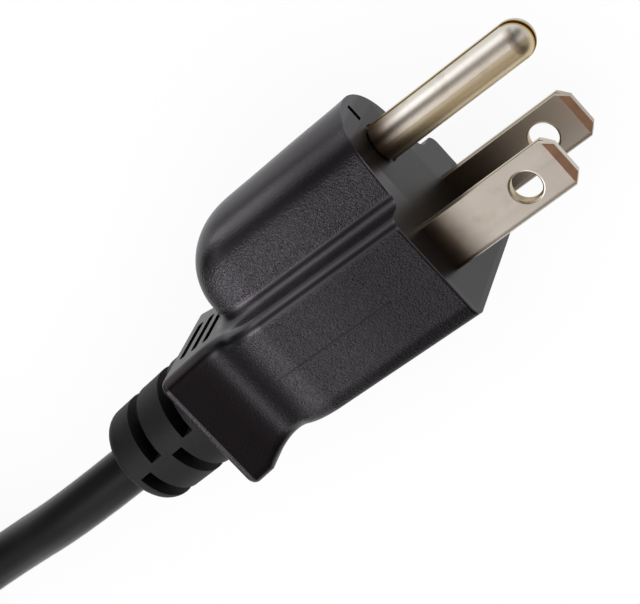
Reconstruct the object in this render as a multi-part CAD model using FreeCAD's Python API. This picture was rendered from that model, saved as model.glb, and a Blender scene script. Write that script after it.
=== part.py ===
import FreeCAD, Part
import math
import os

# Grounded three-pin mains plug, moulded on its cord, lying on its side.
# X runs along the prongs, Y from the blades to the ground pin, Z up.
# The origin is on the front face, midway between the blades. Sizes are in mm.

# Prongs
BLADE_SPACING = 12.7
BLADE_WIDTH = 6.35
BLADE_THICK = 1.5
BLADE_LENGTH = 17.8
BLADE_CHAMFER = 1.2
BLADE_BEVEL = 0.9
BLADE_EDGE = 0.9
BLADE_HOLE_DIA = 3.5
BLADE_HOLE_X = 12.3
BLADE_HOLE_ROUND = 0.3
BLADE_SEAM = 0.12
BLADE_SEAM_DEPTH = 0.35
PIN_OFFSET = 11.89
PIN_DIA = 4.75
PIN_LENGTH = 21.9
PIN_WALL = 0.8
PIN_SEAM = 0.35
PIN_SEAM_SHIFT = 0.45
PIN_NOSE_GAP = 0.5
PIN_NOTCH = 88.0
PIN_NECK_LENGTH = 0.2
PIN_NECK_DEPTH = 0.3
PIN_RECESS_DEPTH = 0.3
PIN_RECESS_GAP = 0.12

# Crimps and cores inside the plug
TAIL_LENGTH = 13.0
NECK_LENGTH = 1.5
NECK_WIDTH = 2.4
BARREL_LENGTH = 6.0
BARREL_WALL = 0.7
STRANDS_DIA = 1.2
CORE_DIA = 2.1
STRIP_LENGTH = 1.0
CORE_LEAD = 2.6
CORE_RUN = 8.5

# Contact carrier, flush in the front face
CARRIER_PLATE = 2.0
CARRIER_MARGIN = 0.7
CARRIER_DEPTH = 11.0
CARRIER_WALL = 1.6
CARRIER_SHOULDER_Y = 2.93
CARRIER_TONGUE_WIDTH = 10.0
CARRIER_TONGUE_TOP = 15.4
CARRIER_SEAM = 0.2

# Base of the body
BASE_HALF_WIDTH = 11.2
BASE_TOP = 6.96
BASE_BOTTOM = -7.63
BASE_LENGTH = 37.4
SIDE_DRAFT = 2.0
BOTTOM_DRAFT = 0.5
EDGE_ROUND = 1.4
PARTING_Y = -0.34

# Waist and grip flange at the rear of the base
WAIST_X = 30.6
WAIST_INSET = 3.9
WAIST_RADIUS = 6.0
WAIST_TURN_IN = 36.0
RIM_X = 36.4
RIM_INSET = 1.9
RIM_ROUND = 0.7
HEEL_START_X = 27.4
HEEL_RADIUS = 14.0
HEEL_BOTTOM = -9.4

# Thumb grooves across the top of the flange
GROOVE_COUNT = 3
GROOVE_LAST_X = 35.3
GROOVE_PITCH = 1.9
GROOVE_WIDTH = 1.0
GROOVE_HALF_LENGTH = 4.35
GROOVE_DEPTH = 0.9

# Hump over the ground pin
HUMP_TOP = 18.3
HUMP_REAR_TOP = 17.65
HUMP_DOME_X = 19.5
HUMP_REAR_X = 28.9
HUMP_ROUND = 6.4
HUMP_LEDGE = 3.45
HUMP_REAR_LEDGE = 4.0
HUMP_FOOT_ROUND = 1.6
MARK_LENGTH = 2.0
MARK_WIDTH = 0.7
MARK_DEPTH = 0.4
MARK_Y = 16.4

# Strain relief, leaning a little to the side where the cord pulls it
RELIEF_LEAN = 3.2
RELIEF_DIA = 13.5
RELIEF_END_DIA = 12.7
RELIEF_LENGTH = 14.5
RELIEF_END_ROUND = 2.0
RELIEF_WALL = 1.0
RELIEF_ROOT = 3.0
SLOT_COUNT = 4
SLOT_FIRST = 3.0
SLOT_PITCH = 2.87
SLOT_WIDTH = 1.8
SLOT_BRIDGE = 0.7

# Cord and its put-away coil
CORD_DIA = 6.2
JACKET_START = 3.6
CORD_BEND_X = -62.2
CORD_FLOOR_X = -82.5
CORD_FLOOR_RUN = 13.0
COIL_INNER = 24.7
COIL_OUTER = 38.7
COIL_LAYERS = 3
COIL_ROUND = 3.0
COIL_LEAD = 22.8
TIE_THICK = 0.6
TIE_WIDTH = 10.0
TIE_ANGLE = 225.0
TAIL_RISE = 20.0
TAIL_SINK = 1.0
TAIL_START = 13.0
TAIL_INSIDE = 12.5

# Appliance connector at the far end
GRIP_WIDTH = 27.0
GRIP_HEIGHT = 20.0
GRIP_LENGTH = 16.0
GRIP_ROUND = 3.0
NOSE_WIDTH = 23.6
NOSE_HEIGHT = 16.0
NOSE_LENGTH = 16.0
NOSE_CHAMFER = 5.0
NOSE_ROUND = 1.2
BLOCK_MARGIN = 2.2
BLOCK_DEPTH = 14.0
SOCKET_SPACING = 14.0
SOCKET_RISE = 2.0
SOCKET_WIDTH = 2.6
SOCKET_HEIGHT = 4.6
SOCKET_DEPTH = 12.5
CONTACT_WALL = 0.4
CONTACT_INSET = 1.5
CONTACT_LENGTH = 9.0
BOOT_LENGTH = 20.0
BOOT_BACK = 3.0
BOOT_DIA = 12.5
BOOT_END_DIA = 9.0

# Worked out from the sizes above
FLOOR = -BASE_HALF_WIDTH
WAIST_HALF_WIDTH = BASE_HALF_WIDTH - WAIST_INSET
RIM_HALF_WIDTH = BASE_HALF_WIDTH - RIM_INSET
HUMP_FOOT_HALF_WIDTH = BASE_HALF_WIDTH - HUMP_LEDGE
HUMP_REAR_HALF_WIDTH = BASE_HALF_WIDTH - HUMP_REAR_LEDGE
CORD_R = CORD_DIA / 2
PIN_R = PIN_DIA / 2
TRIM = 0.3
COIL_TURN_Z = FLOOR + TIE_THICK + CORD_R
COIL_TOP_Z = FLOOR + TIE_THICK + COIL_LAYERS * CORD_DIA
COIL_X = CORD_FLOOR_X - CORD_FLOOR_RUN - COIL_LEAD
RELIEF_AXIS = FreeCAD.Vector(-1, 0, 0)
Y_AXIS = FreeCAD.Vector(0, 1, 0)
Z_AXIS = FreeCAD.Vector(0, 0, 1)
X_AXIS = FreeCAD.Vector(1, 0, 0)


def vec(x, y, z):
    return FreeCAD.Vector(x, y, z)


def tan(degrees):
    return math.tan(math.radians(degrees))


def sin(degrees):
    return math.sin(math.radians(degrees))


def cos(degrees):
    return math.cos(math.radians(degrees))


def box(x0, x1, y0, y1, z0, z1):
    return Part.makeBox(x1 - x0, y1 - y0, z1 - z0, vec(x0, y0, z0))


def polygon(points):
    return Part.makePolygon(points + [points[0]])


def prism(wire, direction):
    return Part.Face(wire).extrude(direction)


def line(a, b):
    return Part.LineSegment(a, b).toShape()


def arc(a, middle, b):
    return Part.Arc(a, middle, b).toShape()


def rod(start, direction, length, diameter):
    return Part.makeCylinder(diameter / 2, length, start, direction)


def lean(shape):
    """Turns a shape built along -X on the parting plane to the strain relief's axis."""
    turned = shape.copy()
    turned.rotate(vec(-BASE_LENGTH, PARTING_Y, 0), Z_AXIS, RELIEF_LEAN)
    return turned


def lean_point(distance):
    """The point on the relief's axis this far behind the flange."""
    return vec(-BASE_LENGTH - distance * cos(RELIEF_LEAN), PARTING_Y - distance * sin(RELIEF_LEAN), 0)


def route_path(points):
    """Straight runs joined by arcs as large as the runs allow, with the radii and the length."""
    edges = []
    radii = []
    last = points[0]
    for before, corner, after in zip(points, points[1:], points[2:]):
        run_in = (corner - before).normalize()
        run_out = (after - corner).normalize()
        turn = run_in.getAngle(run_out)
        reach = 0.45 * min(corner.distanceToPoint(before), corner.distanceToPoint(after))
        radius = reach / math.tan(turn / 2)
        start = corner - run_in * reach
        end = corner + run_out * reach
        inward = (run_out - run_in).normalize()
        middle = corner + inward * (radius / math.cos(turn / 2) - radius)
        edges += [line(last, start), arc(start, middle, end)]
        radii.append(radius)
        last = end
    edges.append(line(last, points[-1]))
    wire = Part.Wire(edges)
    return wire, radii


def tube(wire, diameter):
    first = wire.OrderedEdges[0]
    start = first.valueAt(first.FirstParameter)
    heading = first.tangentAt(first.FirstParameter)
    section = Part.Wire(Part.makeCircle(diameter / 2, start, heading))
    return wire.makePipeShell([section], True, False)


# Outer form of the body


def side_half_width(x):
    return BASE_HALF_WIDTH - x * tan(SIDE_DRAFT)


def plan_side():
    """Edges of the +Z side in plan: drafted side, shoulder arc, waist arc, flare and rim."""
    turn_x = WAIST_X - WAIST_RADIUS * sin(WAIST_TURN_IN)
    turn_z = WAIST_HALF_WIDTH + WAIST_RADIUS * (1 - cos(WAIST_TURN_IN))
    fall = side_half_width(turn_x) - turn_z
    slide = tan(SIDE_DRAFT) * (sin(WAIST_TURN_IN) - sin(SIDE_DRAFT))
    shoulder = fall / (cos(SIDE_DRAFT) - cos(WAIST_TURN_IN) - slide)
    start_x = turn_x - shoulder * (sin(WAIST_TURN_IN) - sin(SIDE_DRAFT))
    start_z = side_half_width(start_x)
    half = (SIDE_DRAFT + WAIST_TURN_IN) / 2
    middle_x = start_x + shoulder * (sin(half) - sin(SIDE_DRAFT))
    middle_z = start_z - shoulder * (cos(SIDE_DRAFT) - cos(half))
    rim_along = RIM_X - WAIST_X
    rim_under = WAIST_HALF_WIDTH + WAIST_RADIUS - RIM_HALF_WIDTH
    rim_far = math.hypot(rim_along, rim_under)
    flare = math.degrees(math.atan2(rim_along, rim_under) - math.acos(WAIST_RADIUS / rim_far))
    flare_x = WAIST_X + WAIST_RADIUS * sin(flare)
    flare_z = WAIST_HALF_WIDTH + WAIST_RADIUS * (1 - cos(flare))
    front = vec(0, 0, BASE_HALF_WIDTH)
    start = vec(-start_x, 0, start_z)
    turn = vec(-turn_x, 0, turn_z)
    flare_start = vec(-flare_x, 0, flare_z)
    rim = vec(-RIM_X, 0, RIM_HALF_WIDTH)
    rear = vec(-BASE_LENGTH, 0, RIM_HALF_WIDTH)
    return [
        line(front, start),
        arc(start, vec(-middle_x, 0, middle_z), turn),
        arc(turn, vec(-WAIST_X, 0, WAIST_HALF_WIDTH), flare_start),
        line(flare_start, rim),
        line(rim, rear),
    ]


def base_block():
    """Plan and elevation outlines, extruded and intersected, with the long edges rounded."""
    near = plan_side()
    far = [edge.mirror(vec(0, 0, 0), Z_AXIS) for edge in near]
    front = line(vec(0, 0, BASE_HALF_WIDTH), vec(0, 0, -BASE_HALF_WIDTH))
    rear = line(vec(-BASE_LENGTH, 0, RIM_HALF_WIDTH), vec(-BASE_LENGTH, 0, -RIM_HALF_WIDTH))
    outline = Part.Wire(Part.__sortEdges__(near + [rear] + far + [front]))
    outline.translate(vec(0, HEEL_BOTTOM - 1, 0))
    plan = prism(outline, vec(0, BASE_TOP - HEEL_BOTTOM + 2, 0))

    heel_y = BASE_BOTTOM + HEEL_START_X * tan(BOTTOM_DRAFT)
    centre_x = HEEL_START_X + HEEL_RADIUS * sin(BOTTOM_DRAFT)
    centre_y = heel_y - HEEL_RADIUS * cos(BOTTOM_DRAFT)
    heel_turn = math.degrees(math.acos((HEEL_BOTTOM - centre_y) / HEEL_RADIUS))
    half = (heel_turn - BOTTOM_DRAFT) / 2
    deep = 2 * BASE_HALF_WIDTH
    z = -deep / 2

    def on_heel(angle):
        return vec(-centre_x - HEEL_RADIUS * sin(angle), centre_y + HEEL_RADIUS * cos(angle), z)

    heel_start = vec(-HEEL_START_X, heel_y, z)
    heel_end = on_heel(heel_turn)
    corners = [
        vec(-BASE_LENGTH, HEEL_BOTTOM, z),
        vec(-BASE_LENGTH, BASE_TOP, z),
        vec(0, BASE_TOP, z),
        vec(0, BASE_BOTTOM, z),
    ]
    edges = [
        line(corners[3], heel_start),
        arc(heel_start, on_heel(half), heel_end),
        line(heel_end, corners[0]),
        line(corners[0], corners[1]),
        line(corners[1], corners[2]),
        line(corners[2], corners[3]),
    ]
    elevation = prism(Part.Wire(edges), vec(0, 0, deep))
    block = plan.common(elevation)
    return round_base_edges(block)


def round_base_edges(block):
    """Rounds the four long edges, then the rim round the rear face."""

    def is_long(edge):
        low, high = edge.BoundBox.XMin, edge.BoundBox.XMax
        off_centre = min(abs(edge.BoundBox.ZMin), abs(edge.BoundBox.ZMax)) > WAIST_HALF_WIDTH / 2
        return high - low > 0.2 and off_centre and edge.BoundBox.YLength < abs(HEEL_BOTTOM)

    block = block.removeSplitter()
    block = block.makeFillet(EDGE_ROUND, [edge for edge in block.Edges if is_long(edge)])
    rim = [edge for edge in block.Edges if edge.BoundBox.XMax < -BASE_LENGTH + 0.01]
    return block.makeFillet(RIM_ROUND, rim)


def hump_section(x, top, half_width, roundness):
    """A round-topped section across the hump; its sides lean out to the foot."""
    foot_y = BASE_TOP - 2 * HUMP_FOOT_ROUND
    centre_y = top - roundness
    dy = centre_y - foot_y
    reach = math.hypot(dy, half_width)
    angle = math.degrees(math.atan2(half_width, -dy) - math.acos(roundness / reach))
    touch_y = centre_y + roundness * cos(angle)
    touch_z = roundness * sin(angle)
    foot = vec(x, foot_y, half_width)
    touch = vec(x, touch_y, touch_z)
    far_touch = vec(x, touch_y, -touch_z)
    far_foot = vec(x, foot_y, -half_width)
    return Part.Wire([
        line(foot, touch),
        arc(touch, vec(x, top, 0), far_touch),
        line(far_touch, far_foot),
        line(far_foot, foot),
    ])


def hump():
    """The drafted front of the hump and its domed rear, in one smooth loft."""
    top_fall = (HUMP_TOP - HUMP_REAR_TOP) / HUMP_DOME_X
    side_fall = (HUMP_FOOT_HALF_WIDTH - HUMP_REAR_HALF_WIDTH) / HUMP_DOME_X
    roundness = HUMP_ROUND / HUMP_FOOT_HALF_WIDTH
    stations = [(HUMP_DOME_X * share, 1, 1) for share in (0, 0.3, 0.6, 0.85)]
    for turn in (0, 15, 30, 45, 58, 70, 78, 82):
        x = HUMP_DOME_X + (HUMP_REAR_X - HUMP_DOME_X) * sin(turn)
        stations.append((x, cos(turn) ** 0.7, (1 - sin(turn) ** 4) ** 0.45))
    sections = []
    for x, height, breadth in stations:
        top = BASE_TOP + (HUMP_TOP - x * top_fall - BASE_TOP) * height
        width = (HUMP_FOOT_HALF_WIDTH - x * side_fall) * breadth
        sections.append(hump_section(-x, top, width, roundness * width))
    return Part.makeLoft(sections, True, False)


def relief():
    """Round strain relief with half slots cut by turns from above and below the parting plane."""
    origin = vec(-BASE_LENGTH, PARTING_Y, 0)
    root = RELIEF_DIA / 2
    end = RELIEF_END_DIA / 2
    inside = RELIEF_ROOT
    outline = polygon([
        origin + vec(inside, 0, 0),
        origin + vec(inside, root, 0),
        origin + vec(0, root, 0),
        origin + vec(-RELIEF_LENGTH, end, 0),
        origin + vec(-RELIEF_LENGTH, 0, 0),
    ])
    body = Part.Face(outline).revolve(origin, X_AXIS, 360)
    tip = [edge for edge in body.Edges if abs(edge.BoundBox.XMin + BASE_LENGTH + RELIEF_LENGTH) < 0.01
           and edge.BoundBox.XLength < 0.01]
    body = body.makeFillet(RELIEF_END_ROUND, tip)
    core = rod(origin + vec(inside, 0, 0), RELIEF_AXIS, RELIEF_LENGTH + inside, CORD_DIA + 2 * RELIEF_WALL)
    for number in range(SLOT_COUNT):
        x = -BASE_LENGTH - SLOT_FIRST - number * SLOT_PITCH
        upper = number % 2 == 0
        y0 = PARTING_Y + SLOT_BRIDGE / 2 if upper else PARTING_Y - RELIEF_DIA
        y1 = PARTING_Y + RELIEF_DIA if upper else PARTING_Y - SLOT_BRIDGE / 2
        slot = box(x - SLOT_WIDTH / 2, x + SLOT_WIDTH / 2, y0, y1, -RELIEF_DIA, RELIEF_DIA)
        body = body.cut(slot.cut(core))
    return lean(body)


def thumb_grooves():
    cuts = []
    for number in range(GROOVE_COUNT):
        x = -GROOVE_LAST_X + number * GROOVE_PITCH
        end_z = GROOVE_HALF_LENGTH - GROOVE_WIDTH / 2
        bottom = BASE_TOP - GROOVE_DEPTH
        middle = box(x - GROOVE_WIDTH / 2, x + GROOVE_WIDTH / 2, bottom, BASE_TOP + 1, -end_z, end_z)
        ends = [rod(vec(x, bottom, z), Y_AXIS, GROOVE_DEPTH + 1, GROOVE_WIDTH) for z in (-end_z, end_z)]
        cuts.append(middle.fuse(ends))
    return cuts


def outer_body():
    """Base, hump and relief in one moulding, before the pieces inside are cut from it."""
    lower = base_block()
    upper = hump()
    joined = lower.fuse(upper).removeSplitter().Solids[0]
    joined = round_hump_foot(joined)
    joined = joined.cut(thumb_grooves())
    mark_y = MARK_Y - MARK_LENGTH / 2
    mark = box(-MARK_DEPTH, 1, mark_y, mark_y + MARK_LENGTH, -MARK_WIDTH / 2, MARK_WIDTH / 2)
    return joined.fuse(relief()).cut(mark)


def round_hump_foot(shape):
    """Fills the valley where the hump stands on the base."""

    def at_foot(edge):
        bounds = edge.BoundBox
        flat = bounds.YLength < 0.01 and abs(bounds.YMin - BASE_TOP) < 0.01
        narrow = max(abs(bounds.ZMin), abs(bounds.ZMax)) < HUMP_FOOT_HALF_WIDTH
        return flat and narrow and bounds.XMin > -HUMP_REAR_X - 0.5

    return shape.makeFillet(HUMP_FOOT_ROUND, [edge for edge in shape.Edges if at_foot(edge)])


# Prongs


def barrel(y, z):
    """Closed crimp barrel behind a prong, bored for the strands."""
    start = vec(-TAIL_LENGTH - NECK_LENGTH, y, z)
    outside = rod(start, RELIEF_AXIS, BARREL_LENGTH, STRANDS_DIA + 2 * BARREL_WALL)
    bore = rod(start - X_AXIS * BARREL_WALL, RELIEF_AXIS, BARREL_LENGTH, STRANDS_DIA)
    return outside, bore


def neck(y, z):
    overlap = BARREL_WALL
    return box(-TAIL_LENGTH - NECK_LENGTH - overlap, -TAIL_LENGTH + overlap,
               y - NECK_WIDTH / 2, y + NECK_WIDTH / 2, z - BLADE_THICK / 2, z + BLADE_THICK / 2)


def blade(z):
    """Folded blade: rounded fold below, seam above and round the tip, chamfers, bevels and hole."""
    half = BLADE_WIDTH / 2
    thick = BLADE_THICK / 2
    plate = prism(polygon([
        vec(-TAIL_LENGTH, -half, z - thick),
        vec(-TAIL_LENGTH, half, z - thick),
        vec(BLADE_LENGTH - BLADE_CHAMFER, half, z - thick),
        vec(BLADE_LENGTH, half - BLADE_CHAMFER, z - thick),
        vec(BLADE_LENGTH, BLADE_CHAMFER - half, z - thick),
        vec(BLADE_LENGTH - BLADE_CHAMFER, -half, z - thick),
    ]), vec(0, 0, BLADE_THICK))
    fold = [edge for edge in plate.Edges if edge.BoundBox.YMax < -half + 0.01 and edge.BoundBox.XLength > 1]
    plate = plate.makeFillet(0.9 * thick, fold)
    hole = rod(vec(BLADE_HOLE_X, 0, z - BLADE_THICK), Z_AXIS, 2 * BLADE_THICK, BLADE_HOLE_DIA)
    plate = plate.cut(hole)
    rims = [edge for edge in plate.Edges if isinstance(edge.Curve, Part.Circle)
            and abs(edge.Curve.Radius - BLADE_HOLE_DIA / 2) < 0.01 and edge.BoundBox.ZLength < 0.01]
    plate = plate.makeFillet(BLADE_HOLE_ROUND, rims)
    for side in (-1, 1):
        face_z = z + side * thick
        edge_z = z + side * BLADE_EDGE / 2
        wedge = prism(polygon([
            vec(BLADE_LENGTH - BLADE_BEVEL, -half, face_z),
            vec(BLADE_LENGTH, -half, edge_z),
            vec(BLADE_LENGTH, -half, face_z),
        ]), vec(0, BLADE_WIDTH, 0))
        plate = plate.cut(wedge)
    seam = box(0, BLADE_LENGTH, half - BLADE_SEAM_DEPTH, half, z - BLADE_SEAM / 2, z + BLADE_SEAM / 2)
    outside, bore = barrel(0, z)
    return plate.cut(seam).fuse([neck(0, z), outside]).cut(bore)


def bullet(radius, start):
    """Round bar along the ground pin's axis with a domed nose."""
    axis = vec(0, PIN_OFFSET, 0)
    dome = PIN_LENGTH - PIN_R
    bar = rod(axis + vec(start, 0, 0), X_AXIS, dome - start, 2 * radius)
    return bar.fuse(Part.makeSphere(radius, axis + vec(dome, 0, 0))).removeSplitter()


def pin_hollow():
    return bullet(PIN_R - PIN_WALL, -TAIL_LENGTH + PIN_WALL)


def ground_pin():
    """Folded tube with a domed nose, open along a seam that runs over the nose to a notch."""
    axis = vec(0, PIN_OFFSET, 0)
    dome = PIN_LENGTH - PIN_R
    neck_dia = PIN_DIA - 2 * PIN_NECK_DEPTH
    root = rod(axis - X_AXIS * TAIL_LENGTH, X_AXIS, TAIL_LENGTH + 2 * PIN_NECK_LENGTH, neck_dia)
    shell = bullet(PIN_R, PIN_NECK_LENGTH).fuse(root).cut(pin_hollow())
    seam_z = PIN_SEAM_SHIFT - PIN_SEAM / 2
    above = box(0, PIN_LENGTH, PIN_OFFSET, PIN_OFFSET + PIN_DIA, seam_z, seam_z + PIN_SEAM)
    gap_z = PIN_SEAM_SHIFT - PIN_NOSE_GAP / 2
    drop = -PIN_DIA * tan(PIN_NOTCH) / 2
    nose = prism(polygon([
        axis + vec(dome, 0, gap_z),
        axis + vec(dome, PIN_DIA, gap_z),
        axis + vec(dome + PIN_DIA, PIN_DIA, gap_z),
        axis + vec(dome + PIN_DIA, drop, gap_z),
        axis + vec(dome + PIN_DIA / 2, drop, gap_z),
    ]), vec(0, 0, PIN_NOSE_GAP))
    outside, bore = barrel(PIN_OFFSET, 0)
    return shell.cut([above, nose]).fuse([neck(PIN_OFFSET, 0), outside]).cut(bore)


def carrier(body, prongs):
    """T-shaped face plate set just inside the body's outline, and the block behind it round the tails."""
    far = BASE_HALF_WIDTH - CARRIER_MARGIN
    low = BASE_BOTTOM + CARRIER_MARGIN
    tongue = CARRIER_TONGUE_WIDTH / 2
    half = BLADE_WIDTH / 2 + CARRIER_WALL
    reach = BLADE_SPACING / 2 + BLADE_THICK / 2 + CARRIER_WALL
    seam = CARRIER_SEAM
    plate_low = box(-CARRIER_PLATE, 1, low, CARRIER_SHOULDER_Y, -far, far)
    corners = [edge for edge in plate_low.Edges if edge.BoundBox.XLength > 1 and edge.BoundBox.YMax < 0]
    plate_low = plate_low.makeFillet(EDGE_ROUND - CARRIER_MARGIN, corners)
    plate_high = box(-CARRIER_PLATE, 1, CARRIER_SHOULDER_Y - 1, CARRIER_TONGUE_TOP, -tongue, tongue)
    plate = plate_low.fuse(plate_high).removeSplitter()
    block = box(-CARRIER_DEPTH, -CARRIER_PLATE / 2, -half, half, -reach, reach)
    stem = box(-CARRIER_DEPTH, -CARRIER_PLATE / 2, 0, PIN_OFFSET + PIN_R + CARRIER_WALL,
               -PIN_R - CARRIER_WALL, PIN_R + CARRIER_WALL)
    whole = plate.common(body).fuse([block, stem]).removeSplitter()

    def on_seam(edge):
        bounds = edge.BoundBox
        in_face = bounds.XLength < 0.01 and abs(bounds.XMax) < 0.01
        side = bounds.ZLength < 0.01 and abs(abs(bounds.ZMax) - tongue) < 0.01
        level = bounds.YLength < 0.01 and abs(bounds.YMax - CARRIER_SHOULDER_Y) < 0.01
        top = bounds.YLength < 0.01 and abs(bounds.YMax - CARRIER_TONGUE_TOP) < 0.01
        return in_face and (side or level or top)

    whole = whole.makeChamfer(seam, [edge for edge in whole.Edges if on_seam(edge)])
    recess_dia = PIN_DIA + 2 * PIN_RECESS_GAP
    recess = rod(vec(-PIN_RECESS_DEPTH, PIN_OFFSET, 0), X_AXIS, 2 * PIN_RECESS_DEPTH, recess_dia)
    return whole.cut(prongs + [recess]), whole


# Cores inside the plug


def core_path(y, z, end):
    """From behind a crimp to the end of the jacket, in an easy double bend."""
    start = vec(-TAIL_LENGTH - NECK_LENGTH - BARREL_LENGTH - STRIP_LENGTH, y, z)
    path, radii = route_path([start, start - X_AXIS * CORE_LEAD, end + X_AXIS * CORE_RUN, end])
    return path


def cores(jacket):
    """Insulation and strands of the three cores, by name, trimmed where they enter the jacket."""
    jacket_end = lean_point(JACKET_START + TRIM)
    pitch = CORE_DIA / math.sqrt(3) * 1.04
    ends = {
        "ground": (PIN_OFFSET, 0, 0),
        "neutral": (0, BLADE_SPACING / 2, 120),
        "line": (0, -BLADE_SPACING / 2, 240),
    }
    pieces = {}
    for name, (y, z, angle) in ends.items():
        end = jacket_end + vec(0, pitch * cos(angle), pitch * sin(angle))
        path = core_path(y, z, end)
        copper = tube(path, STRANDS_DIA)
        first = path.OrderedEdges[0].valueAt(path.OrderedEdges[0].FirstParameter)
        bare = STRIP_LENGTH + BARREL_LENGTH - BARREL_WALL
        strands = copper.fuse(rod(first, X_AXIS, bare, STRANDS_DIA)).removeSplitter()
        pieces[name + "_strands"] = strands.cut(jacket)
        pieces[name + "_insulation"] = tube(path, CORE_DIA).cut([copper, jacket])
    return pieces


# Cord, coil, tie and tail


def coil_level(layer):
    return COIL_TURN_Z + layer * CORD_DIA


def axis_point_at(x):
    """The point of the relief's axis, carried on, at this x."""
    return lean_point((-x - BASE_LENGTH) / cos(RELIEF_LEAN))


def coil_y():
    return axis_point_at(CORD_FLOOR_X).y + COIL_OUTER


def report_tube(name, path, radii, solid):
    section = math.pi * CORD_R ** 2
    print(name, "radii", [round(radius, 1) for radius in radii], "length", round(path.Length, 1))
    print(name, "volume", round(solid.Volume, 1), "section times length", round(section * path.Length, 1))


def cord_run():
    """The run from inside the relief, straight out of it, down to the floor and on to the coil."""
    landing = axis_point_at(CORD_FLOOR_X) + Z_AXIS * coil_level(0)
    last = landing - X_AXIS * CORD_FLOOR_RUN
    points = [lean_point(JACKET_START), axis_point_at(CORD_BEND_X), landing, last]
    path, radii = route_path(points)
    solid = tube(path, CORD_DIA)
    report_tube("cord_run", path, radii, solid)
    return solid


def tail_point(back):
    """A point of the slope up to the connector, this far behind the connector's boot."""
    rise = back * tan(TAIL_RISE)
    return connector_origin() - vec(back, 0, rise)


def cord_coil():
    """Ring round all the turns, with the lead in along the floor and the lead out up to the connector."""
    low = FLOOR + TIE_THICK
    inner = COIL_INNER - CORD_R
    outer = COIL_OUTER + CORD_R
    centre = vec(COIL_X, coil_y(), low)
    hole = Part.makeCylinder(inner, COIL_TOP_Z - low, centre)
    ring = Part.makeCylinder(outer, COIL_TOP_Z - low, centre).cut(hole)
    ring = ring.makeFillet(COIL_ROUND, [edge for edge in ring.Edges if edge.BoundBox.ZLength < 0.01])
    lead_in = rod(vec(COIL_X, coil_y() - COIL_OUTER, coil_level(0)), X_AXIS, COIL_LEAD, CORD_DIA)
    back = (GRIP_HEIGHT / 2 - CORD_R + TAIL_SINK) / tan(TAIL_RISE)
    slope = tail_point(TAIL_START) - tail_point(back)
    lead_out = rod(tail_point(back), slope, slope.Length, CORD_DIA)
    return ring.fuse([lead_in, lead_out]).removeSplitter()


def coil_tie(coil):
    """Strap wrapped once round the bundle."""
    inner = COIL_INNER - CORD_R - TIE_THICK
    outer = COIL_OUTER + CORD_R + TIE_THICK
    strap = box(COIL_X + inner, COIL_X + outer, coil_y() - TIE_WIDTH / 2, coil_y() + TIE_WIDTH / 2,
                FLOOR, COIL_TOP_Z + TIE_THICK)
    corners = [edge for edge in strap.Edges if edge.BoundBox.YLength > TIE_WIDTH / 2]
    strap = strap.makeFillet(COIL_ROUND, corners)
    strap.rotate(vec(COIL_X, coil_y(), 0), Z_AXIS, TIE_ANGLE)
    return strap.cut(coil)


def cord_tail():
    """The short rise from the coil into the connector's boot."""
    end = connector_origin() + X_AXIS * TAIL_INSIDE
    path, radii = route_path([tail_point(TAIL_START), connector_origin(), end])
    solid = tube(path, CORD_DIA)
    report_tube("cord_tail", path, radii, solid)
    return solid


# Appliance connector


def connector_origin():
    """Where the cord enters the connector, which points along +X and lies on the coil."""
    return vec(COIL_X - BOOT_BACK, coil_y() + COIL_INNER, COIL_TOP_Z + GRIP_HEIGHT / 2)


def rounded_bar(centre, length, width, height, chamfer, radius):
    """Bar along X with its two upper corners chamfered and its long edges rounded."""
    half = width / 2
    top = height / 2
    wire = polygon([
        centre + vec(0, -half, -top),
        centre + vec(0, half, -top),
        centre + vec(0, half, top - chamfer),
        centre + vec(0, half - chamfer, top),
        centre + vec(0, chamfer - half, top),
        centre + vec(0, -half, top - chamfer),
    ])
    bar = prism(wire, vec(length, 0, 0))
    return bar.makeFillet(radius, [edge for edge in bar.Edges if edge.BoundBox.XLength > length / 2])


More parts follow.
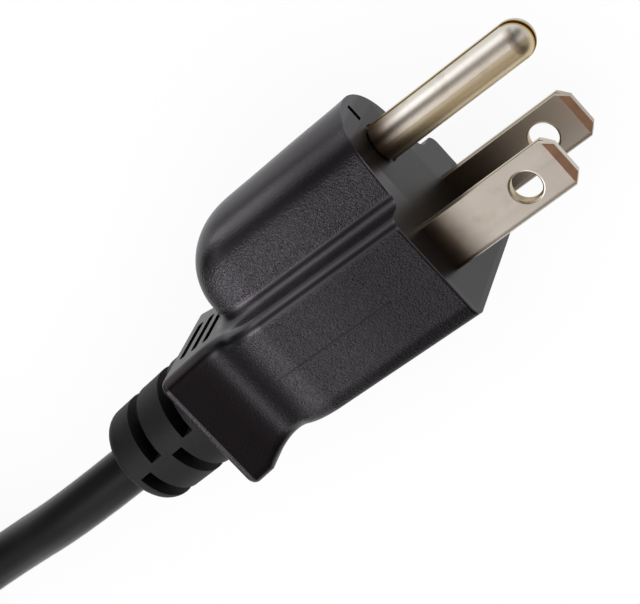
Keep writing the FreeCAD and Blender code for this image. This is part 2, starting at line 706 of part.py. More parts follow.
def connector(jacket):
    """Body, inner block and the three spring contacts, by name."""
    origin = connector_origin()
    middle_z = origin.z
    grip_x = origin.x + BOOT_LENGTH
    nose_x = grip_x + GRIP_LENGTH
    face_x = nose_x + NOSE_LENGTH
    grip_start = vec(grip_x, origin.y, middle_z)
    grip = rounded_bar(grip_start, GRIP_LENGTH, GRIP_WIDTH, GRIP_HEIGHT, GRIP_ROUND, GRIP_ROUND)
    nose_start = vec(nose_x, origin.y, middle_z)
    nose = rounded_bar(nose_start, NOSE_LENGTH, NOSE_WIDTH, NOSE_HEIGHT, NOSE_CHAMFER, NOSE_ROUND)
    boot = Part.makeCone(BOOT_END_DIA / 2, BOOT_DIA / 2, BOOT_LENGTH, origin, X_AXIS)
    outside = grip.fuse([nose, boot]).removeSplitter()
    block_start = vec(face_x - BLOCK_DEPTH, origin.y, middle_z)
    block = rounded_bar(block_start, BLOCK_DEPTH, NOSE_WIDTH - 2 * BLOCK_MARGIN,
                        NOSE_HEIGHT - 2 * BLOCK_MARGIN, NOSE_CHAMFER - BLOCK_MARGIN / 2, NOSE_ROUND / 2)
    pieces = {"connector_body": outside.cut([block, jacket])}
    places = {
        "line": (-SOCKET_SPACING / 2, -SOCKET_RISE),
        "neutral": (SOCKET_SPACING / 2, -SOCKET_RISE),
        "ground": (0, SOCKET_RISE),
    }
    for name, (y, z) in places.items():
        y0 = origin.y + y - SOCKET_WIDTH / 2
        z0 = middle_z + z - SOCKET_HEIGHT / 2
        slot = box(face_x - SOCKET_DEPTH, face_x, y0, y0 + SOCKET_WIDTH, z0, z0 + SOCKET_HEIGHT)
        block = block.cut(slot)
        x1 = face_x - CONTACT_INSET
        x0 = face_x - SOCKET_DEPTH
        outer = box(x0, x1, y0, y0 + SOCKET_WIDTH, z0 + CONTACT_WALL, z0 + SOCKET_HEIGHT - CONTACT_WALL)
        gap_y = y0 + CONTACT_WALL
        gap_width = SOCKET_WIDTH - 2 * CONTACT_WALL
        gap = box(x1 - CONTACT_LENGTH, x1, gap_y, gap_y + gap_width, z0, z0 + SOCKET_HEIGHT)
        pieces["connector_" + name + "_contact"] = outer.cut(gap)
    pieces["connector_block"] = block
    return pieces


def main():
    os.makedirs("parts", exist_ok=True)
    parts = {
        "neutral_blade": blade(BLADE_SPACING / 2),
        "line_blade": blade(-BLADE_SPACING / 2),
        "ground_pin": ground_pin(),
        "cord_coil": cord_coil(),
        "cord_tail": cord_tail(),
    }
    parts["cord_run"] = cord_run()
    parts.update(cores(parts["cord_run"]))
    body = outer_body()
    prongs = [parts["neutral_blade"], parts["line_blade"], parts["ground_pin"], pin_hollow()]
    parts["contact_carrier"], filled_carrier = carrier(body, prongs)
    inside = [piece for name, piece in parts.items() if not name.startswith("co")]
    parts["plug_body"] = body.cut(filled_carrier).cut(inside + [pin_hollow(), parts["cord_run"]])
    parts["coil_tie"] = coil_tie(parts["cord_coil"])
    parts.update(connector(parts["cord_tail"]))
    for name, shape in parts.items():
        solids = shape.Solids
        shape = solids[0] if len(solids) == 1 else shape
        print(name, "solids", len(solids), "valid", shape.isValid(), "volume", round(shape.Volume, 2))
        shape.exportStep("parts/" + name + ".step")


main()
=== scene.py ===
import math
import bpy
from mathutils import Matrix, Vector


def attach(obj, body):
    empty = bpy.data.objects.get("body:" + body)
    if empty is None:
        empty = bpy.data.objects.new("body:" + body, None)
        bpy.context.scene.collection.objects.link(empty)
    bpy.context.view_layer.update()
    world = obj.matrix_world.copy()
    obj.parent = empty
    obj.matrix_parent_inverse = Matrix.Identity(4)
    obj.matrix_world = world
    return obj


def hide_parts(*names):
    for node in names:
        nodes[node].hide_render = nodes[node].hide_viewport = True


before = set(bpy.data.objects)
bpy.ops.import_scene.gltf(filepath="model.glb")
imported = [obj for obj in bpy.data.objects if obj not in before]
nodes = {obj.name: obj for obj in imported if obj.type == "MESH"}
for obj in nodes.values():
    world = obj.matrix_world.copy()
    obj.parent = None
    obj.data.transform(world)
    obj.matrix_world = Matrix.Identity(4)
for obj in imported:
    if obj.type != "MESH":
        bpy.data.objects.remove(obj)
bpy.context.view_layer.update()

MM = 0.001

# Sizes shared with the solids, in millimetres
FLOOR_Z = -11.2
CORD_DIA = 6.2
CORD_ROUTE = [(-40.99, -0.54, 0.0), (-62.2, -1.73, 0.0), (-82.5, -2.86, -7.5), (-95.5, -2.86, -7.5)]
COIL_CENTRE = (-118.3, 35.84)
COIL_INNER = 24.7
COIL_OUTER = 38.7
LAYER_Z = (-7.5, -1.3, 4.9)
CONNECTOR_Z = 18.0
CORD_TAIL = [(-115.0, 60.54, 18.0), (-108.8, 60.54, 18.0)]

# The coil's winding, in turns and degrees
COIL_LAYER_TURNS = 2.222
COIL_CLIMB_TURNS = 0.55
COIL_RISE_TURNS = 0.714
COIL_STEP = 1 / 24
COIL_START = 270

# The order of the cord's curve and its fineness
SPLINE_ORDER = 3
CORD_FINENESS = 8


# Camera, at the photograph's viewing angle, with its place in millimetres
CAMERA_PLACE = (109.4, 60.3, 233.8)
CAMERA_RIGHT = (0.7101, -0.6679, -0.2228)
CAMERA_UP = (0.5236, 0.7124, -0.4673)
CAMERA_BACK = (0.4708, 0.2151, 0.8556)
CAMERA_LENS = 134.27
CAMERA_SENSOR = 36.0
CAMERA_NEAR = 0.01
CAMERA_FAR = 20.0


def add_camera():
    data = bpy.data.cameras.new("camera")
    data.sensor_fit = "HORIZONTAL"
    data.sensor_width = CAMERA_SENSOR
    data.lens = CAMERA_LENS
    data.clip_start = CAMERA_NEAR
    data.clip_end = CAMERA_FAR
    camera = bpy.data.objects.new("camera", data)
    bpy.context.scene.collection.objects.link(camera)
    right, up, back = Vector(CAMERA_RIGHT), Vector(CAMERA_UP), Vector(CAMERA_BACK)
    turn = Matrix((right, up, back)).transposed().to_4x4()
    camera.matrix_world = Matrix.Translation(Vector(CAMERA_PLACE) * MM) @ turn
    bpy.context.scene.camera = camera


# Cord


def coil_points():
    """Three flat layers wound in, out and in again, a climb after each, and the rise to the connector."""
    low, middle, high = LAYER_Z
    stages = [
        (COIL_LAYER_TURNS, COIL_OUTER, COIL_INNER, low, low),
        (COIL_CLIMB_TURNS, COIL_INNER, COIL_INNER, low, middle),
        (COIL_LAYER_TURNS, COIL_INNER, COIL_OUTER, middle, middle),
        (COIL_CLIMB_TURNS, COIL_OUTER, COIL_OUTER, middle, high),
        (COIL_LAYER_TURNS, COIL_OUTER, COIL_INNER, high, high),
        (COIL_RISE_TURNS, COIL_INNER, COIL_INNER, high, CONNECTOR_Z),
    ]
    points = []
    done = 0.0
    for turns, radius_from, radius_to, height_from, height_to in stages:
        steps = round(turns / COIL_STEP)
        for step in range(steps):
            share = step / steps
            angle = math.radians(COIL_START - 360 * (done + turns * share))
            radius = radius_from + (radius_to - radius_from) * share
            x = COIL_CENTRE[0] + radius * math.cos(angle)
            y = COIL_CENTRE[1] + radius * math.sin(angle)
            points.append((x, y, height_from + (height_to - height_from) * share))
        done += turns
    return points


def add_cord():
    """One round curve from the strain relief to the connector; each point's radius gives its thickness."""
    points = CORD_ROUTE + coil_points() + CORD_TAIL
    curve = bpy.data.curves.new("cord", "CURVE")
    curve.dimensions = "3D"
    spline = curve.splines.new("NURBS")
    spline.points.add(len(points) - 1)
    for point, place in zip(spline.points, points):
        point.co = (place[0] * MM, place[1] * MM, place[2] * MM, 1.0)
        point.radius = CORD_DIA / 2 * MM
    spline.order_u = SPLINE_ORDER
    spline.use_endpoint_u = True
    spline.resolution_u = CORD_FINENESS
    spline.use_smooth = True
    curve.bevel_depth = 1.0
    curve.bevel_resolution = CORD_FINENESS
    curve.use_fill_caps = True
    cord = bpy.data.objects.new("cord", curve)
    bpy.context.scene.collection.objects.link(cord)
    return cord


# Node helpers


def rgb(red, green, blue):
    return (red, green, blue, 1.0)


def put(tree, target, value):
    """Link an output to this input, or set the input's own value."""
    if isinstance(value, bpy.types.NodeSocket):
        tree.links.new(value, target)
    else:
        target.default_value = value


def add_node(tree, kind, inputs=None, **settings):
    """Add a node with its settings, and fill its inputs by name or number."""
    node = tree.nodes.new(kind)
    for key, value in settings.items():
        setattr(node, key, value)
    for key, value in (inputs or {}).items():
        put(tree, node.inputs[key], value)
    return node


SOCKETS = {"ior": "IOR", "specular_ior_level": "Specular IOR Level"}


class Shader:
    """A material with a principled surface and short ways to add nodes to it."""

    def __init__(self, name):
        self.material = bpy.data.materials.new(name)
        self.material.use_nodes = True
        self.tree = self.material.node_tree
        self.surface = self.tree.nodes["Principled BSDF"]
        self.place = self.add("ShaderNodeTexCoord").outputs["Object"]

    def add(self, kind, inputs=None, **settings):
        return add_node(self.tree, kind, inputs, **settings)

    def maths(self, operation, *values):
        return self.add("ShaderNodeMath", dict(enumerate(values)), operation=operation).outputs[0]

    def axis(self, letter):
        return self.add("ShaderNodeSeparateXYZ", {0: self.place}).outputs[letter]

    def facing(self, letter):
        """How far the surface faces along this axis, either way."""
        normal = self.add("ShaderNodeNewGeometry").outputs["Normal"]
        return self.maths("ABSOLUTE", self.add("ShaderNodeSeparateXYZ", {0: normal}).outputs[letter])

    def noise(self, scale, detail, roughness=0.5, stretch=(1, 1, 1)):
        mapping = self.add("ShaderNodeMapping", {"Vector": self.place, "Scale": stretch})
        inputs = {"Vector": mapping.outputs[0], "Scale": scale, "Detail": detail, "Roughness": roughness}
        return self.add("ShaderNodeTexNoise", inputs).outputs["Fac"]

    def ramp(self, value, band, to_low=0.0, to_high=1.0):
        """A smooth change from one level to another while the value crosses the band."""
        low, high = band
        inputs = {"Value": value, "From Min": low, "From Max": high, "To Min": to_low, "To Max": to_high}
        return self.add("ShaderNodeMapRange", inputs, interpolation_type="SMOOTHSTEP").outputs["Result"]

    def fall(self, value, band):
        return self.ramp(value, band, 1.0, 0.0)

    def within(self, value, rise, fall):
        """One between two soft ends, and zero outside them."""
        return self.maths("MULTIPLY", self.ramp(value, rise), self.fall(value, fall))

    def mix(self, factor, first, second):
        inputs = {"Factor": factor, "A": first, "B": second}
        return self.add("ShaderNodeMix", inputs, data_type="RGBA").outputs["Result"]

    def bump(self, height, strength, distance):
        inputs = {"Height": height, "Strength": strength, "Distance": distance}
        put(self.tree, self.surface.inputs["Normal"], self.add("ShaderNodeBump", inputs).outputs[0])

    def set(self, **values):
        for name, value in values.items():
            put(self.tree, self.surface.inputs[SOCKETS.get(name, name.replace("_", " ").title())], value)


# Plastics
BLACK_PVC = (rgb(0.0042, 0.0040, 0.0044), rgb(0.0060, 0.0057, 0.0062))
PLUG_PVC = (rgb(0.0036, 0.0031, 0.0039), rgb(0.0052, 0.0045, 0.0056))
# Painted shade: the black of the carrier's eased edge
EASED_EDGE_PAINTED_SHADE = rgb(0.001, 0.001, 0.001)
PLUG_TINT = rgb(0.97, 0.90, 1.0)
RELIEF_TINT = rgb(1.0, 0.99, 0.99)
PLUG_IOR = 1.55
PATCH_SCALE = 60.0
PATCH_DETAIL = 3.0
PATCH_SPAN = (0.2, 0.8)
FINE_SCALE = 900.0
FINE_DETAIL = 2.0
FINE_STRENGTH = 0.15
FINE_DEPTH = 0.00004
PLASTIC_SPREAD = 0.04
JACKET_ROUGH = (0.40, 0.46)
CARRIER_ROUGH = (0.32, 0.40)
CARRIER_GLOSS = 0.5
EASED_FACING = (0.5, 0.85)
WHOLE = (0.0, 1.0)


def plain_plastic(name, shades, rough):
    """Moulded plastic with a slightly uneven colour and sheen."""
    shader = Shader(name)
    patch = shader.noise(PATCH_SCALE, PATCH_DETAIL)
    shader.set(base_color=shader.mix(patch, *shades))
    shader.set(roughness=shader.ramp(patch, PATCH_SPAN, rough - PLASTIC_SPREAD, rough + PLASTIC_SPREAD))
    shader.bump(shader.noise(FINE_SCALE, FINE_DETAIL), FINE_STRENGTH, FINE_DEPTH)
    return shader.material


def jacket_plastic():
    """Smooth cord jacket with a faint bloom."""
    shader = Shader("cord_jacket")
    patch = shader.noise(PATCH_SCALE, PATCH_DETAIL)
    shader.set(base_color=shader.mix(patch, *BLACK_PVC))
    shader.set(roughness=shader.ramp(patch, PATCH_SPAN, *JACKET_ROUGH))
    shader.set(specular_ior_level=0.15, sheen_weight=1.0, sheen_roughness=0.32)
    shader.bump(shader.noise(FINE_SCALE, FINE_DETAIL), FINE_STRENGTH, FINE_DEPTH)
    return shader.material


def carrier_plastic():
    """Plain black moulding, with the eased edge that marks its outline on the front face black and without
    reflection: a real seam darkened as painted shade.
    """
    shader = Shader("carrier_pvc")
    patch = shader.noise(PATCH_SCALE, PATCH_DETAIL)
    # Painted shade: the eased edge turns black and its reflection is switched off
    eased_seam_shade = shader.fall(shader.facing("X"), EASED_FACING)
    shader.set(base_color=shader.mix(eased_seam_shade, shader.mix(patch, *BLACK_PVC), EASED_EDGE_PAINTED_SHADE))
    shader.set(roughness=shader.ramp(patch, PATCH_SPAN, *CARRIER_ROUGH))
    shader.set(specular_ior_level=shader.ramp(eased_seam_shade, WHOLE, CARRIER_GLOSS, 0.0))
    return shader.material


# Zones of the plug's surface, in metres: where each change begins and ends
FRONT_EDGE_X = (-0.0004, -0.0001)
FRONT_PART_X = (-0.0180, -0.0060)
SHOULDER_FRONT_X = (-0.0222, -0.0205)
SHOULDER_REAR_X = (-0.0255, -0.0238)
BASE_REAR_X = (-0.0280, -0.0230)
WAIST_FRONT_X = (-0.0280, -0.0255)
WAIST_REAR_X = (-0.0335, -0.0310)
GRAIN_FADE_X = (-0.0325, -0.0215)
RELIEF_X = (-0.0376, -0.0372)
LOWER_EDGE_Y = (-0.0063, -0.0051)
LEDGE_FOOT_Y = (0.0052, 0.0058)
LEDGE_TOP_Y = (0.0081, 0.0089)
HUMP_Y = (0.0070, 0.0095)
CROWN_DULL_Y = (0.0118, 0.0148)
CROWN_GRAIN_Y = (0.0122, 0.0146)
CROWN_SHEEN_Y = (0.0135, 0.0165)
CROWN_TOP_Y = (0.0166, 0.0174)
MOULD_LINE_Y = -0.00034
MOULD_LINE_WIDTH = (0.00003, 0.00009)
MOULD_LINE_FRONT_X = (-0.0072, -0.0066)
MOULD_LINE_REAR_X = (-0.0250, -0.0235)

# Levels of grain, roughness and gloss in those zones; the gloss gains and losses paint highlight and shade
GRAIN_DEPTH = 0.00013
PORE_SHARE = 0.3
FLANGE_GRAIN = 0.22
CROWN_GRAIN = 0.15
MOULD_LINE_CUT = 2.2
SIDE_ROUGH = 0.27
CROWN_ROUGH = 0.20
RELIEF_ADDED_ROUGH = 0.28
ROUGH_SPREAD = 0.06
PLAIN_GLOSS = 0.52
HUMP_HIGHLIGHT_GLOSS = 0.76
LEAST_GLOSS = 0.14
FRONT_SHADE_LOSS = 0.17
CROWN_SHADE_LOSS = 0.30
LOWER_SHADE_LOSS = 0.32
WAIST_SHADE_LOSS = 0.26
CROWN_TOP_HIGHLIGHT_GAIN = 0.40
SHOULDER_HIGHLIGHT_GAIN = 0.18
RELIEF_GLOSS_SHARE = 0.75


def body_relief(shader, x, y, behind_front):
    """Height of the leather grain on the panels, with the mould line cut into it."""
    cells = shader.noise(scale=4000.0, detail=2.0, roughness=0.55)
    pores = shader.noise(scale=9000.0, detail=1.0)
    grain = shader.maths("MULTIPLY_ADD", pores, PORE_SHARE, cells)
    on_panels = shader.maths("MULTIPLY", behind_front, shader.ramp(x, GRAIN_FADE_X, FLANGE_GRAIN, 1.0))
    on_panels = shader.maths("MULTIPLY", on_panels, shader.ramp(y, CROWN_GRAIN_Y, 1.0, CROWN_GRAIN))
    off_ledge = shader.maths("MAXIMUM", shader.fall(y, LEDGE_FOOT_Y), shader.ramp(y, LEDGE_TOP_Y))
    grained = shader.maths("MULTIPLY", on_panels, off_ledge)
    from_line = shader.maths("ABSOLUTE", shader.maths("SUBTRACT", y, MOULD_LINE_Y))
    along_line = shader.within(x, MOULD_LINE_REAR_X, MOULD_LINE_FRONT_X)
    mould_line = shader.maths("MULTIPLY", shader.fall(from_line, MOULD_LINE_WIDTH), along_line)
    plain = shader.maths("MULTIPLY", grain, grained)
    return shader.maths("MULTIPLY_ADD", mould_line, -MOULD_LINE_CUT, plain)


def painted_gloss_bands(shader, x, y, behind_front, on_housing):
    """Reflection strength by zone, as painted highlight and painted shade: fuller on the hump, along the
    crown's top edge and at the shoulder, duller at the front, on the crown, below and in the waist.
    """
    # Painted shade towards the front, painted highlight on the hump, painted shade on the crown
    painted_front_shade = shader.maths("MULTIPLY", shader.ramp(x, FRONT_PART_X, 0.0, FRONT_SHADE_LOSS), behind_front)
    gloss = shader.maths("SUBTRACT", shader.ramp(y, HUMP_Y, PLAIN_GLOSS, HUMP_HIGHLIGHT_GLOSS), painted_front_shade)
    gloss = shader.maths("SUBTRACT", gloss, shader.ramp(y, CROWN_DULL_Y, 0.0, CROWN_SHADE_LOSS))
    # Painted highlight along the crown's top edge
    gloss = shader.maths("ADD", gloss, shader.ramp(y, CROWN_TOP_Y, 0.0, CROWN_TOP_HIGHLIGHT_GAIN))
    # Painted shade along the lower edge of the base
    on_base = shader.maths("MULTIPLY", shader.ramp(x, BASE_REAR_X), behind_front)
    painted_lower_shade = shader.maths("MULTIPLY", shader.fall(y, LOWER_EDGE_Y), on_base)
    gloss = shader.maths("MULTIPLY_ADD", painted_lower_shade, -LOWER_SHADE_LOSS, gloss)
    # Painted shade in the waist
    painted_waist_shade = shader.within(x, WAIST_REAR_X, WAIST_FRONT_X)
    gloss = shader.maths("MULTIPLY_ADD", painted_waist_shade, -WAIST_SHADE_LOSS, gloss)
    gloss = shader.maths("MAXIMUM", gloss, LEAST_GLOSS)
    # Painted highlight at the shoulder
    painted_shoulder_highlight = shader.within(x, SHOULDER_REAR_X, SHOULDER_FRONT_X)
    gloss = shader.maths("MULTIPLY_ADD", painted_shoulder_highlight, SHOULDER_HIGHLIGHT_GAIN, gloss)
    return shader.maths("MULTIPLY", gloss, shader.ramp(on_housing, WHOLE, RELIEF_GLOSS_SHARE, 1.0))


def body_plastic():
    """Black moulding: grained sides, a mould line along the middle and a duller strain relief."""
    shader = Shader("plug_pvc")
    x = shader.axis("X")
    y = shader.axis("Y")
    behind_front = shader.fall(x, FRONT_EDGE_X)
    on_housing = shader.ramp(x, RELIEF_X)
    patch = shader.noise(scale=55.0, detail=PATCH_DETAIL)
    rough = shader.ramp(y, CROWN_SHEEN_Y, SIDE_ROUGH, CROWN_ROUGH)
    rough = shader.maths("MULTIPLY_ADD", patch, ROUGH_SPREAD, rough)
    rough = shader.maths("ADD", rough, shader.ramp(x, RELIEF_X, RELIEF_ADDED_ROUGH, 0.0))
    shader.set(base_color=shader.mix(patch, *PLUG_PVC), roughness=rough, ior=PLUG_IOR)
    shader.set(specular_tint=shader.mix(on_housing, RELIEF_TINT, PLUG_TINT))
    # Painted highlight and painted shade through the zoned gloss
    shader.set(specular_ior_level=painted_gloss_bands(shader, x, y, behind_front, on_housing))
    shader.bump(body_relief(shader, x, y, behind_front), 1.0, GRAIN_DEPTH)
    return shader.material


# Metals, with their places in metres
NEAR_PLATE = (rgb(0.71, 0.635, 0.55), rgb(0.77, 0.695, 0.615))
# The far blade's plating is darker than the near one's: painted shade
FAR_PLATE_PAINTED_SHADE = (rgb(0.51, 0.44, 0.37), rgb(0.57, 0.50, 0.43))
PIN_PLATE = rgb(0.69, 0.62, 0.52)
# Painted highlight on the pin's upper side and painted warm reflection on its lower side
PIN_PLATE_PAINTED_HIGHLIGHT = rgb(0.81, 0.78, 0.72)
PIN_PLATE_PAINTED_REFLECTION = rgb(0.84, 0.68, 0.42)
PIN_LIP = rgb(0.58, 0.40, 0.13)
MOTTLE = rgb(0.50, 0.42, 0.32)
# Painted shade and painted dark reflection of the body at the prongs' roots
ROOT_PAINTED_SHADE = rgb(0.20, 0.145, 0.10)
COINED_TIP = rgb(0.98, 0.62, 0.42)
HOLE_RIM = rgb(0.62, 0.50, 0.30)
CUT_EDGE = rgb(0.66, 0.58, 0.38)
EDGE_SEAM = rgb(0.30, 0.20, 0.08)
WHITE = rgb(1.0, 1.0, 1.0)
BLADE_Z = 0.00635
BLADE_EDGE_Y = (0.00300, 0.00314)
BLADE_SEAM_WIDTH = (0.00012, 0.00030)
BLADE_TIP_X = (0.01684, 0.01694)
BLADE_TIP_FACING = (0.4, 0.7)
HOLE_X = 0.0123
HOLE_RIM_RADIUS = (0.00178, 0.00196)
# Where the painted shade at the roots fades out, and how uneven its edge is
ROOT_SHADE_FROM_X = 0.0004
NEAR_ROOT_SHADE_TO_X = 0.0074
FAR_ROOT_SHADE_TO_X = 0.0110
ROOT_SHADE_WAVE = 0.0012
STREAK_STRETCH = (0.12, 1.0, 1.0)
STREAK_SPAN = (0.3, 0.7)
STREAK_DEPTH = 0.00003
STREAK_STRENGTH = 0.1
MOTTLE_SPAN = (0.52, 0.72)
MOTTLE_SHARE = 0.30
HOLE_RIM_SHARE = 0.8
CUT_EDGE_SHARE = 0.45
PLATE_SPREAD = 0.045
BLADE_ROUGH = 0.315
PIN_ROUGH = 0.36
PIN_PALER_SHARE = 0.18
METAL_SPREAD = 0.05
PIN_AXIS_Y = 0.01189
PIN_SEAM_Z = 0.00045
PIN_HIGHLIGHT_RISE = (0.0009, 0.0014)
PIN_REFLECTION_RISE = (-0.0005, 0.0003)
PIN_SEAM_RISE = (0.0004, 0.0010)
PIN_SEAM_WIDTH = (0.00022, 0.00034)
PIN_NOSE_X = (0.01945, 0.01975)
PIN_NOSE_WIDTH = (0.00036, 0.00056)


def plating(shader, x, dark, light, root_shade_to, rough):
    """Nickel colour with fine streaks along the prong and dull spots, darkened brown at the root as painted
    shade and painted dark reflection of the body.
    """
    streak = shader.noise(scale=420.0, detail=3.0, roughness=0.6, stretch=STREAK_STRETCH)
    patch = shader.noise(scale=120.0, detail=3.0)
    plate = shader.mix(patch, dark, light)
    spots = shader.noise(scale=380.0, detail=4.0, roughness=0.6)
    plate = shader.mix(shader.ramp(spots, MOTTLE_SPAN, 0.0, MOTTLE_SHARE), plate, MOTTLE)
    # Painted shade and dark reflection at the root, with an uneven edge
    uneven_x = shader.maths("MULTIPLY_ADD", patch, ROOT_SHADE_WAVE, x)
    plate = shader.mix(shader.ramp(uneven_x, (ROOT_SHADE_FROM_X, root_shade_to)), ROOT_PAINTED_SHADE, plate)
    shader.set(metallic=1.0)
    shader.set(roughness=shader.ramp(streak, STREAK_SPAN, rough - PLATE_SPREAD, rough + PLATE_SPREAD))
    shader.bump(streak, STREAK_STRENGTH, STREAK_DEPTH)
    return plate


def blade_metal(middle, shades, root_shade_to):
    """Folded blade: plated faces, yellow cut edges and a coined tip that shows the base metal."""
    shader = Shader("blade_plating")
    x = shader.axis("X")
    plate = plating(shader, x, *shades, root_shade_to, BLADE_ROUGH)
    across = shader.maths("ABSOLUTE", shader.axis("Y"))
    through = shader.maths("ABSOLUTE", shader.maths("SUBTRACT", shader.axis("Z"), middle))
    edge = shader.ramp(across, BLADE_EDGE_Y)
    seam = shader.fall(through, BLADE_SEAM_WIDTH)
    on_face = shader.ramp(shader.facing("Z"), BLADE_TIP_FACING)
    tip = shader.maths("MULTIPLY", shader.ramp(x, BLADE_TIP_X), on_face)
    plate = shader.mix(tip, plate, COINED_TIP)
    from_hole = shader.maths("SUBTRACT", x, HOLE_X)
    across_squared = shader.maths("MULTIPLY", across, across)
    hole_radius = shader.maths("SQRT", shader.maths("MULTIPLY_ADD", from_hole, from_hole, across_squared))
    plate = shader.mix(shader.ramp(hole_radius, HOLE_RIM_RADIUS, HOLE_RIM_SHARE, 0.0), plate, HOLE_RIM)
    plate = shader.mix(shader.maths("MULTIPLY", edge, CUT_EDGE_SHARE), plate, CUT_EDGE)
    plate = shader.mix(shader.maths("MULTIPLY", edge, seam), plate, EDGE_SEAM)
    shader.set(base_color=plate)
    return shader.material


def pin_metal():
    """Rolled pin: barrel whiter above as a painted highlight and yellower below as a painted warm
    reflection, with yellow lips at its seam and nose.
    """
    shader = Shader("pin_plating")
    x = shader.axis("X")
    rise = shader.maths("SUBTRACT", shader.axis("Y"), PIN_AXIS_Y)
    # Painted highlight above the pin's axis, painted warm reflection below it
    dark = shader.mix(shader.ramp(rise, PIN_HIGHLIGHT_RISE), PIN_PLATE, PIN_PLATE_PAINTED_HIGHLIGHT)
    dark = shader.mix(shader.fall(rise, PIN_REFLECTION_RISE), dark, PIN_PLATE_PAINTED_REFLECTION)
    light = shader.mix(PIN_PALER_SHARE, dark, WHITE)
    plate = plating(shader, x, dark, light, NEAR_ROOT_SHADE_TO_X, PIN_ROUGH)
    through = shader.maths("ABSOLUTE", shader.maths("SUBTRACT", shader.axis("Z"), PIN_SEAM_Z))
    along = shader.maths("MULTIPLY", shader.ramp(rise, PIN_SEAM_RISE), shader.fall(through, PIN_SEAM_WIDTH))
    nose = shader.maths("MULTIPLY", shader.ramp(x, PIN_NOSE_X), shader.fall(through, PIN_NOSE_WIDTH))
    shader.set(base_color=shader.mix(shader.maths("MAXIMUM", along, nose), plate, PIN_LIP))
    return shader.material


def metal(name, dark, light, rough):
    """Bare metal with a slightly uneven colour."""
    shader = Shader(name)
    patch = shader.noise(scale=300.0, detail=3.0)
    shader.set(base_color=shader.mix(patch, dark, light), metallic=1.0)
    shader.set(roughness=shader.ramp(patch, PATCH_SPAN, rough - METAL_SPREAD, rough + METAL_SPREAD))
    return shader.material


def woven_strap():
    """Dull black weave."""
    shader = Shader("tie_strap")
    weave = shader.noise(scale=1500.0, detail=2.0)
    shader.set(base_color=shader.mix(weave, rgb(0.012, 0.012, 0.012), rgb(0.04, 0.04, 0.04)))
    shader.set(roughness=0.85)
    shader.bump(weave, 0.6, 0.0002)
    return shader.material


# Which piece wears what
CORE_ROUGH = 0.35
CORE_SHADES = {
    "neutral": ("core_white", (rgb(0.75, 0.75, 0.72), rgb(0.85, 0.85, 0.82))),
    "line": ("core_black", (rgb(0.010, 0.010, 0.010), rgb(0.014, 0.014, 0.014))),
    "ground": ("core_green", (rgb(0.02, 0.24, 0.05), rgb(0.03, 0.30, 0.07))),
}
INSERT_SHADES = (rgb(0.008, 0.008, 0.008), rgb(0.011, 0.011, 0.011))


def dress(node, material):
    """Give a piece of the frame this one material."""
    mesh = nodes[node].data
    mesh.materials.clear()
    mesh.materials.append(material)


def dress_all(cord):
    cord.data.materials.append(jacket_plastic())
    dress("plug_body", body_plastic())
    dress("contact_carrier", carrier_plastic())
    dress("neutral_blade", blade_metal(BLADE_Z, NEAR_PLATE, NEAR_ROOT_SHADE_TO_X))
    dress("line_blade", blade_metal(-BLADE_Z, FAR_PLATE_PAINTED_SHADE, FAR_ROOT_SHADE_TO_X))
    dress("ground_pin", pin_metal())
    cores = {core: plain_plastic(name, shades, CORE_ROUGH) for core, (name, shades) in CORE_SHADES.items()}
    copper = metal("copper", rgb(0.78, 0.40, 0.25), rgb(0.86, 0.48, 0.32), rough=0.35)
    contact = metal("contact_brass", rgb(0.70, 0.52, 0.26), rgb(0.78, 0.60, 0.32), rough=0.3)
    for core, insulation in cores.items():
        dress(core + "_insulation", insulation)
        dress(core + "_strands", copper)
        dress("connector_" + core + "_contact", contact)
    dress("coil_tie", woven_strap())
    dress("connector_body", plain_plastic("connector_pvc", BLACK_PVC, rough=0.42))
    dress("connector_block", plain_plastic("connector_insert", INSERT_SHADES, rough=0.3))


# Floor, with its sizes in metres
FLOOR_HALF = 3.0
FLOOR_COLOUR = rgb(0.9, 0.9, 0.9)
FLOOR_ROUGH = 0.9
MIRRORED_FLOOR = 0.78
SHADOW_REACH = 0.02
SHADOW_LEVEL = 0.92


def add_floor():
    """A floor that is seen as white, a little darker close to what stands on it."""
    low, high, z = -FLOOR_HALF, FLOOR_HALF, FLOOR_Z * MM
    corners = [(low, low, z), (high, low, z), (high, high, z), (low, high, z)]
    mesh = bpy.data.meshes.new("floor")
    mesh.from_pydata(corners, [], [(0, 1, 2, 3)])
    floor = bpy.data.objects.new("floor", mesh)
    bpy.context.scene.collection.objects.link(floor)
    material = bpy.data.materials.new("floor")
    material.use_nodes = True
    tree = material.node_tree
    surface = tree.nodes["Principled BSDF"]
    surface.inputs["Base Color"].default_value = FLOOR_COLOUR
    surface.inputs["Roughness"].default_value = FLOOR_ROUGH
    rays = add_node(tree, "ShaderNodeLightPath").outputs
    reflected = {0: rays["Is Glossy Ray"], 1: rays["Is Transmission Ray"]}
    mirrored = add_node(tree, "ShaderNodeMath", reflected, operation="MAXIMUM")
    either = {0: rays["Is Camera Ray"], 1: mirrored.outputs[0]}
    seen = add_node(tree, "ShaderNodeMath", either, operation="MAXIMUM")
    levels = {"Value": rays["Is Camera Ray"], "To Min": MIRRORED_FLOOR, "To Max": 1.0}
    level = add_node(tree, "ShaderNodeMapRange", levels)
    open_sky = add_node(tree, "ShaderNodeAmbientOcclusion", {"Distance": SHADOW_REACH})
    shadow = add_node(tree, "ShaderNodeMapRange", {"Value": open_sky.outputs["AO"], "To Min": SHADOW_LEVEL})
    both = {0: level.outputs["Result"], 1: shadow.outputs["Result"]}
    shaded = add_node(tree, "ShaderNodeMath", both, operation="MULTIPLY")
    glow = add_node(tree, "ShaderNodeEmission", {"Strength": shaded.outputs[0]})
    layers = {"Fac": seen.outputs[0], 1: surface.outputs[0], 2: glow.outputs[0]}
    mix = add_node(tree, "ShaderNodeMixShader", layers)
    tree.links.new(mix.outputs[0], tree.nodes["Material Output"].inputs["Surface"])
    mesh.materials.append(material)


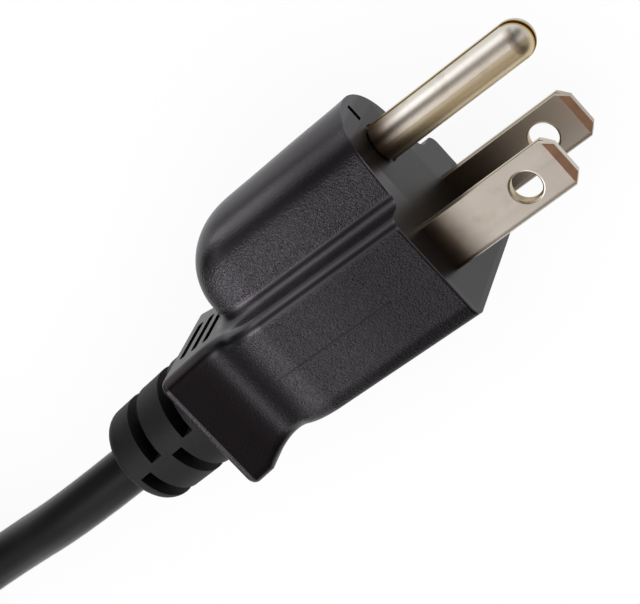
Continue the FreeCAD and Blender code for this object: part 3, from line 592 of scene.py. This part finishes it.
# Light: the colour of the studio by direction, as a panel along X times a strip along Y
STUDIO_STRENGTH = 14.4
PANEL_STOPS = [
    (-1.0, (0.02, 0.02, 0.02)),
    (-0.84, (0.03, 0.03, 0.03)),
    (-0.76, (0.66, 0.655, 0.67)),
    (-0.66, (0.72, 0.715, 0.73)),
    (-0.57, (0.28, 0.28, 0.285)),
    (-0.48, (0.17, 0.17, 0.17)),
    (-0.36, (0.088, 0.087, 0.086)),
    (0.02, (0.078, 0.063, 0.057)),
    (0.18, (0.040, 0.031, 0.028)),
    (0.36, (0.006, 0.006, 0.006)),
    (0.56, (0.10, 0.10, 0.10)),
    (1.0, (0.12, 0.12, 0.12)),
]
STRIP_STOPS = [
    (-1.0, (0.06, 0.06, 0.06)),
    (-0.60, (0.20, 0.195, 0.185)),
    (-0.25, (0.23, 0.23, 0.23)),
    (-0.05, (0.50, 0.50, 0.50)),
    (0.06, (0.56, 0.56, 0.56)),
    (0.16, (0.46, 0.46, 0.46)),
    (0.34, (0.07, 0.07, 0.07)),
    (0.64, (0.05, 0.05, 0.05)),
    (0.84, (0.82, 0.82, 0.82)),
    (1.0, (0.82, 0.82, 0.82)),
]


def colour_ramp(tree, value, stops):
    """Colour by a direction's coordinate from -1 to 1, smooth between the stops."""
    share = add_node(tree, "ShaderNodeMapRange", {"From Min": -1.0, "Value": value})
    node = add_node(tree, "ShaderNodeValToRGB", {"Fac": share.outputs["Result"]})
    node.color_ramp.interpolation = "EASE"
    elements = node.color_ramp.elements
    for place, _ in stops[1:-1]:
        elements.new((place + 1) / 2)
    for element, (place, colour) in zip(elements, stops):
        element.position = (place + 1) / 2
        element.color = rgb(*colour)
    return node.outputs["Color"]


def add_light():
    """A soft studio: a bright panel behind the plug, strips at its sides, and a dim warm room in front."""
    world = bpy.data.worlds.new("studio")
    bpy.context.scene.world = world
    world.use_nodes = True
    tree = world.node_tree
    place = add_node(tree, "ShaderNodeTexCoord").outputs["Generated"]
    direction = add_node(tree, "ShaderNodeSeparateXYZ", {0: place}).outputs
    panel = colour_ramp(tree, direction["X"], PANEL_STOPS)
    strip = colour_ramp(tree, direction["Y"], STRIP_STOPS)
    inputs = {"Factor": 1.0, "A": panel, "B": strip}
    studio = add_node(tree, "ShaderNodeMix", inputs, data_type="RGBA", blend_type="MULTIPLY")
    background = tree.nodes["Background"]
    tree.links.new(studio.outputs["Result"], background.inputs["Color"])
    background.inputs["Strength"].default_value = STUDIO_STRENGTH
    bpy.context.scene.view_settings.view_transform = "Standard"


add_camera()
cord = add_cord()
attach(cord, "root")
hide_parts("cord_run", "cord_coil", "cord_tail")
dress_all(cord)
add_floor()
add_light()

bpy.context.view_layer.update()
